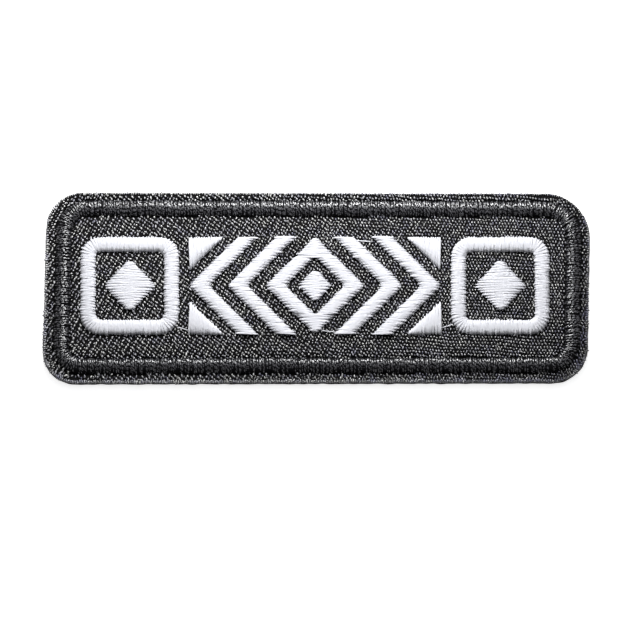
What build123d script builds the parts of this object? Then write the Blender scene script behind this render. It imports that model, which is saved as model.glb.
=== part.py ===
from build123d import *
from collections import namedtuple
from math import hypot
import os

# Embroidered patch: a black twill strip on a stiff backing film, with a raised satin border
# set in from its cut edge and a band of plain shapes sewn in satin columns inside it.
# Millimetres. +X runs along the patch, +Y up its face, +Z out of the face.
# The origin is the middle of the underside.

# The cut patch
PATCH_LENGTH = 90.0
PATCH_WIDTH = 31.7
CUT_CORNER_RADIUS = 6.0
SIDE_LEAN = 0.7             # how far the top edge stands to the right of the bottom edge
END_TAPER = 0.4             # how much taller the left end is than the right end

# The layers
BACKING_THICKNESS = 0.4
TWILL_THICKNESS = 1.0
LAYER_GAP = 0.05            # the small gap between any two pieces
BACKING_LIP = 0.12          # the film stands this far past the shrunken edge of the twill
MELT_RADIUS = 0.25          # rounding that the hot cut leaves on the twill's top edge

# The satin border
BORDER_COLUMN = 2.7         # width of the border's column of stitches
BORDER_INSET = 2.7          # cut edge to the middle of the column
BORDER_RISE = 0.95          # height of its crown above its bed
BORDER_SHOULDER = 0.2       # height at which its sides start to curve in
BORDER_CORNER_RADIUS = 4.0  # of the middle of the column
BORDER_DRIFT = (0.17, 0.07) # sewn this far off the middle of the cut patch
BED_DEPTH = 0.15            # the stitches pull the cloth down into a bed this deep
BED_MARGIN = 0.2            # the bed shows this far each side of the border

# The band of shapes inside the border
FIELD_MARGIN_ENDS = 2.15    # border to band, at the two ends
FIELD_MARGIN_SIDES = 3.7    # border to band, along the two long sides
BAND_DRIFT = (-0.45, 0.2)   # sewn this far off the middle of the border
MOTIF_COLUMN = 2.35         # width of a white column of stitches
MOTIF_RISE = 0.65
MOTIF_ROUNDING = 0.45       # of a column's top edges
POINT_ROUNDING = 0.5        # that thread gives to each pointed corner, seen from above
SQUARE_CORNER_RADIUS = 3.2
MOTIF_GAP = 1.8             # cloth left showing between two shapes
DIAMOND_GAP = 1.5           # cloth left showing round a filled diamond
CHEVRON_LEAN = 1.0          # sideways run of a chevron's leg for each unit of its height
CHEVRONS_PER_SIDE = 2

# The four corners: the side and the end that each is on, and its radii as shares of
# CUT_CORNER_RADIUS and BORDER_CORNER_RADIUS
Corner = namedtuple("Corner", "name side end cut_radius border_radius")
CORNERS = [
    Corner("bottom_left", -1, -1, 0.88, 0.78),
    Corner("bottom_right", 1, -1, 0.97, 0.92),
    Corner("top_right", 1, 1, 1.22, 1.20),
    Corner("top_left", -1, 1, 1.00, 1.00),
]

# Heights from the underside up
TWILL_BASE = BACKING_THICKNESS + LAYER_GAP
TWILL_FACE = TWILL_BASE + TWILL_THICKNESS
BED_FLOOR = TWILL_FACE - BED_DEPTH
BORDER_BASE = BED_FLOOR + LAYER_GAP
MOTIF_BASE = TWILL_FACE + LAYER_GAP

# The band, measured inside the border
BORDER_REACH = BORDER_INSET + BORDER_COLUMN / 2
BAND_LENGTH = PATCH_LENGTH - 2 * (BORDER_REACH + FIELD_MARGIN_ENDS)
BAND_HEIGHT = PATCH_WIDTH - 2 * (BORDER_REACH + FIELD_MARGIN_SIDES)
BAND_CENTRE = Vector(*BORDER_DRIFT) + Vector(*BAND_DRIFT)
HALF_HEIGHT = BAND_HEIGHT / 2

# The shapes in the band, measured from its middle
SQUARE_CENTRE = (BAND_LENGTH - BAND_HEIGHT) / 2
SQUARE_OPENING = BAND_HEIGHT - 2 * MOTIF_COLUMN
SQUARE_FACE = SQUARE_CENTRE - HALF_HEIGHT
LEG_SLANT = hypot(1, CHEVRON_LEAN)      # length of a leg for each unit of its height
LEG_WIDTH = MOTIF_COLUMN * LEG_SLANT    # width of a slanted column, measured along X
LOZENGE_REACH = CHEVRON_LEAN * HALF_HEIGHT
CHEVRON_PITCH = (SQUARE_FACE - MOTIF_GAP - LOZENGE_REACH) / CHEVRONS_PER_SIDE

# Roundings that their walls limit
WALL_SHARE = 0.9
TOP_ROUNDING = min(MOTIF_ROUNDING, WALL_SHARE * POINT_ROUNDING, WALL_SHARE * MOTIF_RISE)
SQUARE_INNER_RADIUS = max(SQUARE_CORNER_RADIUS - MOTIF_COLUMN, POINT_ROUNDING)


def outline_corners(inset, drift=(0, 0)):
    """The four corner points of the leaning outline, `inset` inside the cut edge."""
    half_length = PATCH_LENGTH / 2 - inset
    half_width = PATCH_WIDTH / 2 - inset
    corner_lean = SIDE_LEAN / 2 * half_width / (PATCH_WIDTH / 2)
    corner_taper = END_TAPER / 4 * half_length / (PATCH_LENGTH / 2)
    return [
        (
            drift[0] + corner.side * half_length + corner.end * corner_lean,
            drift[1] + corner.end * (half_width - corner.side * corner_taper),
        )
        for corner in CORNERS
    ]


def filled_outline(corners, radii):
    """A flat face through these corners, each rounded to its radius."""
    with BuildSketch() as outline:
        with BuildLine():
            FilletPolyline(*corners, radius=radii, close=True)
        make_face()
    return outline.sketch


def band_points(points, side=1):
    """Points measured from the middle of the band, mirrored to its left half where side is -1."""
    return [(BAND_CENTRE.X + side * x, BAND_CENTRE.Y + y) for x, y in points]


def diamond_points(inset):
    """Corners of the middle lozenge's outline, `inset` inside it along X."""
    reach = LOZENGE_REACH - inset
    half_height = HALF_HEIGHT - inset / CHEVRON_LEAN
    return [(reach, 0), (0, half_height), (-reach, 0), (0, -half_height)]


def stitched_shape(filled, opening=None):
    """A raised white shape with rounded top edges, from its filled outline and any opening in it."""
    with BuildPart() as shape:
        with BuildSketch(Plane.XY.offset(MOTIF_BASE)):
            add(filled)
            if opening:
                add(opening, mode=Mode.SUBTRACT)
        extrude(amount=MOTIF_RISE)
        fillet(shape.faces().sort_by(Axis.Z)[-1].edges(), radius=TOP_ROUNDING)
    return shape


def pointed_shape(points, side=1):
    """A filled shape of the band whose corners are points rounded by the thread."""
    return stitched_shape(filled_outline(band_points(points, side), POINT_ROUNDING))


def open_square(side):
    """An open square at one end of the band, one column wide all round."""
    centre = band_points([(SQUARE_CENTRE, 0)], side)[0]
    with BuildSketch() as filled:
        with Locations(centre):
            RectangleRounded(BAND_HEIGHT, BAND_HEIGHT, SQUARE_CORNER_RADIUS)
    with BuildSketch() as opening:
        with Locations(centre):
            RectangleRounded(SQUARE_OPENING, SQUARE_OPENING, SQUARE_INNER_RADIUS)
    return stitched_shape(filled.sketch, opening.sketch)


def square_diamond(side):
    """The filled diamond inside an end square, its points DIAMOND_GAP from the columns."""
    reach = SQUARE_OPENING / 2 - DIAMOND_GAP
    points = [
        (SQUARE_CENTRE + reach, 0), (SQUARE_CENTRE, reach),
        (SQUARE_CENTRE - reach, 0), (SQUARE_CENTRE, -reach),
    ]
    return pointed_shape(points, side)


def chevron(place, side):
    """A chevron pointing to the end of the band; place counts outwards from the lozenge."""
    foot = place * CHEVRON_PITCH
    tip = foot + LOZENGE_REACH
    points = [
        (foot, HALF_HEIGHT), (tip, 0), (foot, -HALF_HEIGHT),
        (foot - LEG_WIDTH, -HALF_HEIGHT), (tip - LEG_WIDTH, 0), (foot - LEG_WIDTH, HALF_HEIGHT),
    ]
    return pointed_shape(points, side)


def wedge(side, end):
    """A filled corner between the outermost chevron and an end square."""
    inner = CHEVRONS_PER_SIDE * CHEVRON_PITCH + MOTIF_GAP * LEG_SLANT
    outer = SQUARE_FACE - MOTIF_GAP
    drop = (outer - inner) / CHEVRON_LEAN
    points = [
        (inner, end * HALF_HEIGHT), (outer, end * HALF_HEIGHT), (outer, end * (HALF_HEIGHT - drop)),
    ]
    return pointed_shape(points, side)


# Backing film, a lip wider than the twill all round
cut_radii = [CUT_CORNER_RADIUS * corner.cut_radius for corner in CORNERS]
with BuildPart() as backing:
    with BuildSketch(Plane.XY):
        add(filled_outline(outline_corners(-BACKING_LIP), [radius + BACKING_LIP for radius in cut_radii]))
    extrude(amount=BACKING_THICKNESS)

# Middle line of the border, which its column and its bed both follow
border_corners = outline_corners(BORDER_INSET, BORDER_DRIFT)
border_radii = [BORDER_CORNER_RADIUS * corner.border_radius for corner in CORNERS]
border_face = filled_outline(border_corners, border_radii)
with BuildLine(Plane.XY.offset(BORDER_BASE)) as border_line:
    FilletPolyline(*border_corners, radius=border_radii, close=True)

# Twill, with a rounded cut edge and a bed pressed in under the border
bed_reach = BORDER_COLUMN / 2 + BED_MARGIN
with BuildPart() as twill_ground:
    with BuildSketch(Plane.XY.offset(TWILL_BASE)):
        add(filled_outline(outline_corners(0), cut_radii))
    extrude(amount=TWILL_THICKNESS)
    fillet(twill_ground.faces().sort_by(Axis.Z)[-1].edges(), radius=MELT_RADIUS)
    with BuildSketch(Plane.XY.offset(BED_FLOOR)):
        offset(border_face, amount=bed_reach, mode=Mode.ADD)
        offset(border_face, amount=-bed_reach, mode=Mode.SUBTRACT)
    extrude(amount=BED_DEPTH, mode=Mode.SUBTRACT)

# Border: a crowned column carried along its middle line
half_column = BORDER_COLUMN / 2
border_path = border_line.wires()[0]
with BuildPart() as satin_border:
    with BuildSketch(Plane(origin=border_path @ 0, z_dir=border_path % 0, x_dir=(0, 0, 1))):
        with BuildLine():
            Polyline(
                (BORDER_SHOULDER, half_column), (0, half_column),
                (0, -half_column), (BORDER_SHOULDER, -half_column),
            )
            ThreePointArc(
                (BORDER_SHOULDER, -half_column), (BORDER_RISE, 0), (BORDER_SHOULDER, half_column)
            )
        make_face()
    sweep(path=border_path)

# The band of white shapes, from the middle outwards
pieces = {
    "backing": backing,
    "twill_ground": twill_ground,
    "satin_border": satin_border,
    "lozenge": stitched_shape(
        filled_outline(band_points(diamond_points(0)), POINT_ROUNDING),
        filled_outline(band_points(diamond_points(LEG_WIDTH)), POINT_ROUNDING),
    ),
    "lozenge_diamond": pointed_shape(diamond_points(LEG_WIDTH + DIAMOND_GAP * LEG_SLANT)),
}
for side_name, side in (("left", -1), ("right", 1)):
    for place in range(1, CHEVRONS_PER_SIDE + 1):
        pieces[f"chevron_{side_name}_{place}"] = chevron(place, side)
    pieces[f"wedge_{side_name}_top"] = wedge(side, 1)
    pieces[f"wedge_{side_name}_bottom"] = wedge(side, -1)
    pieces[f"square_{side_name}"] = open_square(side)
    pieces[f"square_diamond_{side_name}"] = square_diamond(side)

os.makedirs("parts", exist_ok=True)
for name, piece in pieces.items():
    piece.part.label = name
    export_step(piece.part, f"parts/{name}.step")
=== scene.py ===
"""Embroidered patch: black twill, a raised black satin border and a band of plain white shapes.

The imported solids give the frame, the layers and the place of every shape. This script dresses them:
the cloth becomes a closed sheet with a fused cut edge and rows of yarn crowns, and each embroidered
solid becomes the rows of thread that it stands for. Sizes are in millimetres until a mesh is made.
"""
import logging
from dataclasses import dataclass
from enum import Enum, IntEnum
from math import cos, hypot, pi, radians, sin
from typing import Any, ClassVar

import bpy
import numpy as np
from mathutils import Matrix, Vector


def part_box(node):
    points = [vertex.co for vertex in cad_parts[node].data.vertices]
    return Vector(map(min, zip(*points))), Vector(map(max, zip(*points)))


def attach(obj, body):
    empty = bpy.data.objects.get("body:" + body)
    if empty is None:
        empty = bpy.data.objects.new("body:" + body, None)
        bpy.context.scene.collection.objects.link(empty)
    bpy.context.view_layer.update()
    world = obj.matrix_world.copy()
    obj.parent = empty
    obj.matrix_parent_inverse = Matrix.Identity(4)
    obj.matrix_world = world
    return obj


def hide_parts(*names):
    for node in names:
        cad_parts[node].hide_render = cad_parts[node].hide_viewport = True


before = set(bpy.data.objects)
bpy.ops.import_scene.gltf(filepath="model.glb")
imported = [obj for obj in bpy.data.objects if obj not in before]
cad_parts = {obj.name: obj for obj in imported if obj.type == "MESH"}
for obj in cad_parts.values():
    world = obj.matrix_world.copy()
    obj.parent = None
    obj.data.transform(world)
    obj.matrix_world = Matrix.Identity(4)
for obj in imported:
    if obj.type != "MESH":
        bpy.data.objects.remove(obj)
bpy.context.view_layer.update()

log = logging.getLogger("patch")

Array = np.ndarray
Spot = tuple[float, float, float]
MM = 0.001
DIAGONAL = hypot(1, 1)  # length of a 45 degree slant that goes 1 across and 1 up
WAVE_BANDS = 3.18  # bands that Blender's wave texture draws on one unit at a scale of 1


class Seed(IntEnum):
    """Seed of each random drawing, so that every run gives the same patch."""

    CROWNS = 5
    COCKLE = 11
    EDGE_LUMPS = 23
    EDGE_GRIT = 24
    FILM_EDGE = 31
    FILM_BACK = 37
    LATTICE_X = 41
    LATTICE_Y = 42
    HUES = 47
    JUMPS = 71
    BORDER = 101
    SHAPES = 200


# Small shared tools

def linear(hex_code: str) -> tuple[float, float, float, float]:
    """Turns an sRGB hex colour into the linear colour that a shader takes.

    Args:
        hex_code: six hex digits.

    Returns:
        Linear red, green and blue, and an alpha of 1.
    """
    channels = [int(hex_code[i:i + 2], 16) / 255 for i in (0, 2, 4)]
    lit = [c / 12.92 if c <= 0.04045 else ((c + 0.055) / 1.055) ** 2.4 for c in channels]
    return (lit[0], lit[1], lit[2], 1.0)


def node(
    tree: bpy.types.NodeTree,
    kind: str,
    settings: dict[str, Any] | None = None,
    feeds: dict[str | int, Any] | None = None,
) -> bpy.types.Node:
    """Adds a node with its settings and links.

    Args:
        tree: the node tree it goes into.
        kind: the node's type name.
        settings: properties of the node itself.
        feeds: for each input, by name or number, a value, another node's output, or another node,
            whose first output is then taken.

    Returns:
        The new node.
    """
    made = tree.nodes.new(kind)
    for name, value in (settings or {}).items():
        setattr(made, name, value)
    for name, value in (feeds or {}).items():
        if isinstance(value, bpy.types.Node):
            value = value.outputs[0]
        if isinstance(value, bpy.types.NodeSocket):
            tree.links.new(value, made.inputs[name])
        else:
            made.inputs[name].default_value = value
    return made


def ripple(
    flat: Array, seed: int, wavelength: float, waves: int = 7, spread: tuple[float, float] = (0.6, 1.6)
) -> Array:
    """A smooth random height: the mean of plane sine waves whose directions and phases are drawn once.

    Args:
        flat: places on the patch, (..., 2).
        seed: the drawing's seed.
        wavelength: the middle wavelength.
        waves: how many waves are added.
        spread: the shortest and the longest of them, as shares of that wavelength.

    Returns:
        Heights between about -1 and 1, (...).
    """
    rng = np.random.default_rng(seed)
    heading = rng.uniform(0, 2 * pi, waves)
    pitch = 2 * pi / (wavelength * rng.uniform(*spread, waves))
    phase = rng.uniform(0, 2 * pi, waves)
    along = (
        np.multiply.outer(flat[..., 0], np.cos(heading)) + np.multiply.outer(flat[..., 1], np.sin(heading))
    )
    return np.sin(along * pitch + phase).sum(axis=-1) / np.sqrt(waves)


def lifted(flat: Array, height: Array | float) -> Array:
    """Gives flat points a height.

    Args:
        flat: points on the plan, (..., 2).
        height: one height for all, or one for each.

    Returns:
        The points in space, (..., 3).
    """
    level = np.broadcast_to(height, flat.shape[:-1])
    return np.concatenate([flat, level[..., None]], axis=-1)


def cosine_steps(count: int) -> Array:
    """Shares from 0 to 1, closer together near both ends: half of 1 less the cosine of even turns."""
    return (1 - np.cos(np.linspace(0, pi, count))) / 2


def inside(points: Array, outline: Array) -> Array:
    """Even-odd test: counts the outline's edges that a line running along +X from each point crosses.

    Args:
        points: places to test, (n, 2).
        outline: corners of a closed outline, (m, 2).

    Returns:
        True for each point inside the outline.
    """
    start, end = outline, np.roll(outline, -1, axis=0)
    x, y = points[:, :1], points[:, 1:]
    spans = (start[:, 1] > y) != (end[:, 1] > y)
    rise = end[:, 1] - start[:, 1]
    reach = start[:, 0] + (y - start[:, 1]) * (end[:, 0] - start[:, 0]) / np.where(rise == 0, 1, rise)
    return (spans & (x < reach)).sum(axis=1) % 2 == 1


@dataclass
class Surface:
    """Vertices and faces in millimetres, with named numbers for each vertex.

    Attributes:
        points: vertices, (n, 3).
        quads: faces of four vertices, (m, 4).
        triangles: faces of three vertices, (k, 3).
        marks: named numbers, one for each vertex.
        uv: place of each vertex on its own thread, (n, 2), or None.
    """

    points: Array
    quads: Array
    triangles: Array
    marks: dict[str, Array]
    uv: Array | None = None

    def __post_init__(self) -> None:
        """Turns the faces over where they point inwards: the volume they close is then negative."""
        halves = np.concatenate([self.quads[:, [0, 1, 2]], self.quads[:, [0, 2, 3]], self.triangles])
        a, b, c = (self.points[halves[:, i]] for i in range(3))
        if (a * np.cross(b, c)).sum() < 0:
            self.quads = self.quads[:, ::-1]
            self.triangles = self.triangles[:, ::-1]

    @staticmethod
    def joined(parts: list["Surface"]) -> "Surface":
        """Joins surfaces with the same marks into one.

        Args:
            parts: the surfaces.

        Returns:
            One surface that holds them all.
        """
        starts = np.cumsum([0] + [len(part.points) for part in parts[:-1]])
        return Surface(
            np.concatenate([part.points for part in parts]),
            np.concatenate([part.quads + start for part, start in zip(parts, starts)]),
            np.concatenate([part.triangles + start for part, start in zip(parts, starts)]),
            {name: np.concatenate([part.marks[name] for part in parts]) for name in parts[0].marks},
            np.concatenate([part.uv for part in parts]) if parts[0].uv is not None else None,
        )

    def as_piece(self, name: str, material: bpy.types.Material, slot: str) -> bpy.types.Object:
        """Puts the surface into a mesh object at the origin, riding on the patch.

        Args:
            name: the piece's name.
            material: its material.
            slot: the record's material slot that it takes its finish from; not used.

        Returns:
            The new object.
        """
        mesh = bpy.data.meshes.new(name)
        corners = np.concatenate([self.quads.ravel(), self.triangles.ravel()]).astype(np.int32)
        quad_starts = np.arange(len(self.quads)) * 4
        triangle_starts = self.quads.size + np.arange(len(self.triangles)) * 3
        starts = np.concatenate([quad_starts, triangle_starts]).astype(np.int32)
        mesh.vertices.add(len(self.points))
        mesh.vertices.foreach_set("co", (self.points * MM).astype(np.float32).ravel())
        mesh.loops.add(len(corners))
        mesh.loops.foreach_set("vertex_index", corners)
        mesh.polygons.add(len(starts))
        mesh.polygons.foreach_set("loop_start", starts)
        mesh.update(calc_edges=True)
        mesh.validate()
        mesh.shade_smooth()
        for mark, values in self.marks.items():
            attribute = mesh.attributes.new(mark, "FLOAT", "POINT")
            attribute.data.foreach_set("value", values.astype(np.float32))
        if self.uv is not None:
            layer = mesh.uv_layers.new(name="thread")
            layer.data.foreach_set("uv", self.uv[corners].astype(np.float32).ravel())
        mesh.materials.append(material)
        piece = bpy.data.objects.new(name, mesh)
        bpy.context.scene.collection.objects.link(piece)
        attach(piece, "root")
        log.info("%s: %d vertices, %d faces", name, len(self.points), len(starts))
        return piece


def tubes(rings: Array, tips: Array | None) -> tuple[Array, Array, Array]:
    """Closes rings of points into tubes: each ring is joined to the next by a band of quads.

    Args:
        rings: (tubes, rings, sides, 3).
        tips: the two end points of each tube, (tubes, 2, 3), or None where it closes on itself.

    Returns:
        Vertices, quads and triangles.
    """
    count, length, sides, _ = rings.shape
    ring = np.arange(length if tips is None else length - 1)[:, None]
    side = np.arange(sides)[None, :]
    here, ahead = ring * sides, (ring + 1) % length * sides
    turned = (side + 1) % sides
    band = np.stack([here + side, here + turned, ahead + turned, ahead + side], axis=-1).reshape(-1, 4)
    body = rings.reshape(count, -1, 3)
    if tips is None:
        caps = np.zeros((0, 3), int)
    else:
        body = np.concatenate([body, tips], axis=1)
        first = np.full(sides, length * sides)
        last = (length - 1) * sides
        around, beyond = side[0], turned[0]
        caps = np.concatenate([
            np.stack([first, beyond, around], axis=-1),
            np.stack([first + 1, last + around, last + beyond], axis=-1),
        ])
    step = np.arange(count)[:, None, None] * body.shape[1]
    return body.reshape(-1, 3), (band + step).reshape(-1, 4), (caps + step).reshape(-1, 3)


# Paths and plans

@dataclass(frozen=True)
class RoundedPath:
    """A closed path of straight runs joined by tangent arcs, counter-clockwise.

    Attributes:
        corners: the corner points, (n, 2).
        radii: the radius of each corner.
    """

    corners: Array
    radii: Array

    def spans(self) -> tuple[Array, Array, Array, Array]:
        """Splits the path into run, arc, run, arc: each arc starts where its radius meets the run.

        Returns:
            Start points, start headings, curvatures, and the length along the path at each start,
            with the whole length at its end.
        """
        towards = np.roll(self.corners, -1, axis=0) - self.corners
        length = np.hypot(*towards.T)
        heading = np.arctan2(towards[:, 1], towards[:, 0])
        turn = (np.roll(heading, -1) - heading + pi) % (2 * pi) - pi
        next_radius = np.roll(self.radii, -1)
        trim = next_radius * np.tan(np.abs(turn) / 2)
        direction = towards / length[:, None]
        run_start = self.corners + direction * np.roll(trim, 1)[:, None]
        run_length = length - trim - np.roll(trim, 1)
        arc_start = run_start + direction * run_length[:, None]
        lengths = np.stack([run_length, next_radius * np.abs(turn)], axis=1).ravel()
        starts = np.stack([run_start, arc_start], axis=1).reshape(-1, 2)
        curves = np.stack([np.zeros_like(turn), np.sign(turn) / next_radius], axis=1).ravel()
        return starts, np.repeat(heading, 2), curves, np.concatenate([[0], np.cumsum(lengths)])

    @property
    def length(self) -> float:
        """The whole length."""
        return float(self.spans()[3][-1])

    def at(self, distance: Array, offset: float | Array = 0.0) -> Array:
        """Points at these lengths along the path.

        On a run the point moves along its heading; on an arc the heading turns by the curvature
        times the length. The offset is then taken at right angles, outwards.

        Args:
            distance: lengths along the path.
            offset: how far outside the path.

        Returns:
            The points, (n, 2).
        """
        starts, headings, curves, reached = self.spans()
        distance = np.asarray(distance) % reached[-1]
        span = np.searchsorted(reached, distance, side="right") - 1
        along = distance - reached[span]
        curve, before = curves[span], headings[span]
        after = before + curve * along
        bend = np.where(curve == 0, 1, curve)
        x = np.where(curve == 0, along * np.cos(before), (np.sin(after) - np.sin(before)) / bend)
        y = np.where(curve == 0, along * np.sin(before), (np.cos(before) - np.cos(after)) / bend)
        outward = np.stack([np.sin(after), -np.cos(after)], axis=-1)
        return starts[span] + np.stack([x, y], axis=-1) + outward * np.reshape(offset, (-1, 1))

    def paced(self, count: int) -> Array:
        """Lengths along the path, evenly spaced all round it."""
        return np.arange(count) * self.length / count

    def loop(self, counts: tuple[int, int], offset: float | Array = 0.0) -> Array:
        """Points all round, with as many on each side as asked, from the middle of the first corner.

        Args:
            counts: steps on the first and third sides, and on the second and fourth.
            offset: how far outside the path.

        Returns:
            The points, (2 * sum(counts), 2).
        """
        reached = self.spans()[3]
        middles = (reached[1:-1:2] + reached[2::2]) / 2
        middles = np.concatenate([[middles[-1] - reached[-1]], middles])
        steps = [counts[side % 2] for side in range(4)]
        spots = [
            np.linspace(middles[side], middles[side + 1], steps[side], endpoint=False)
            for side in range(4)
        ]
        return self.at(np.concatenate(spots), offset)


@dataclass(frozen=True)
class PatchPlan:
    """Plan of the cut patch and the middle line of its border, the same as the solids'.

    Attributes:
        length: of the cut patch.
        width: of the cut patch.
        lean: how far the top edge stands to the right of the bottom edge.
        taper: how much taller the left end is than the right end.
        cut_radius: of the cut corners.
        cut_shares: of it at the bottom left, bottom right, top right and top left.
        border_inset: cut edge to the middle of the border's column.
        border_drift: how far off the middle the border is sewn.
        border_radius: of the border's corners.
        border_shares: of it at the same corners.
        border_column: width of the border's column.
    """

    length: float = 90.0
    width: float = 31.7
    lean: float = 0.7
    taper: float = 0.4
    cut_radius: float = 6.0
    cut_shares: tuple[float, ...] = (0.88, 0.97, 1.22, 1.00)
    border_inset: float = 2.7
    border_drift: tuple[float, float] = (0.17, 0.07)
    border_radius: float = 4.0
    border_shares: tuple[float, ...] = (0.78, 0.92, 1.20, 1.00)
    border_column: float = 2.7

    def corners(self, inset: float, drift: tuple[float, float] = (0.0, 0.0)) -> Array:
        """Corner points of the leaning outline.

        Args:
            inset: how far inside the cut edge.
            drift: how far the outline is moved.

        Returns:
            The four points, counter-clockwise from the bottom left.
        """
        side = np.array([-1, 1, 1, -1])
        end = np.array([-1, -1, 1, 1])
        half_length = self.length / 2 - inset
        half_width = self.width / 2 - inset
        lean = self.lean / 2 * half_width / (self.width / 2)
        taper = self.taper / 4 * half_length / (self.length / 2)
        x = drift[0] + side * half_length + end * lean
        y = drift[1] + end * (half_width - side * taper)
        return np.stack([x, y], axis=-1)

    def cut_path(self) -> RoundedPath:
        """The cut edge."""
        return RoundedPath(self.corners(0), self.cut_radius * np.array(self.cut_shares))

    def border_path(self) -> RoundedPath:
        """The middle line of the border."""
        return RoundedPath(
            self.corners(self.border_inset, self.border_drift),
            self.border_radius * np.array(self.border_shares),
        )

    def area(self) -> float:
        """Area inside the cut edge, by the sum of crossed steps round it."""
        points = self.cut_path().loop(counts=(400, 160))
        ahead = np.roll(points, -1, axis=0)
        return float((points[:, 0] * ahead[:, 1] - points[:, 1] * ahead[:, 0]).sum() / 2)


@dataclass(frozen=True)
class Layers:
    """Heights of the layers, read from the solids.

    Attributes:
        film_face: top of the backing film.
        cloth_base: underside of the twill.
        cloth_face: top of the twill.
        bed_floor: floor of the bed under the border.
        border_top: crown of the border.
        shape_top: top of the white shapes.
        clearance: gap that the solids keep from layer to layer.
    """

    film_face: float
    cloth_base: float
    cloth_face: float
    bed_floor: float
    border_top: float
    shape_top: float
    clearance: ClassVar[float] = 0.05

    @classmethod
    def from_frame(cls) -> "Layers":
        """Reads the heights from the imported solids' boxes."""
        boxes = {name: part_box(name) for name in ("backing", "twill_ground", "satin_border", "lozenge")}
        low = {name: box[0].z / MM for name, box in boxes.items()}
        high = {name: box[1].z / MM for name, box in boxes.items()}
        return cls(
            film_face=high["backing"],
            cloth_base=low["twill_ground"],
            cloth_face=high["twill_ground"],
            bed_floor=low["satin_border"] - cls.clearance,
            border_top=high["satin_border"],
            shape_top=high["lozenge"],
        )


# Finishes

@dataclass(frozen=True)
class Finish:
    """A finish: its material is one principled shader, fed by the pattern that the finish draws.

    Attributes:
        name: the material's name.
    """

    name: str

    def feeds(self, tree: bpy.types.NodeTree) -> dict[str, Any]:
        """Draws the pattern.

        Args:
            tree: the material's node tree.

        Returns:
            For each of the shader's inputs, a value or a node that feeds it.
        """
        raise NotImplementedError

    def make(self) -> bpy.types.Material:
        """Builds the material."""
        material = bpy.data.materials.new(self.name)
        material.use_nodes = True
        tree = material.node_tree
        tree.nodes.clear()
        shader = node(tree, "ShaderNodeBsdfPrincipled", {}, self.feeds(tree))
        node(tree, "ShaderNodeOutputMaterial", {}, {0: shader})
        return material


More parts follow.
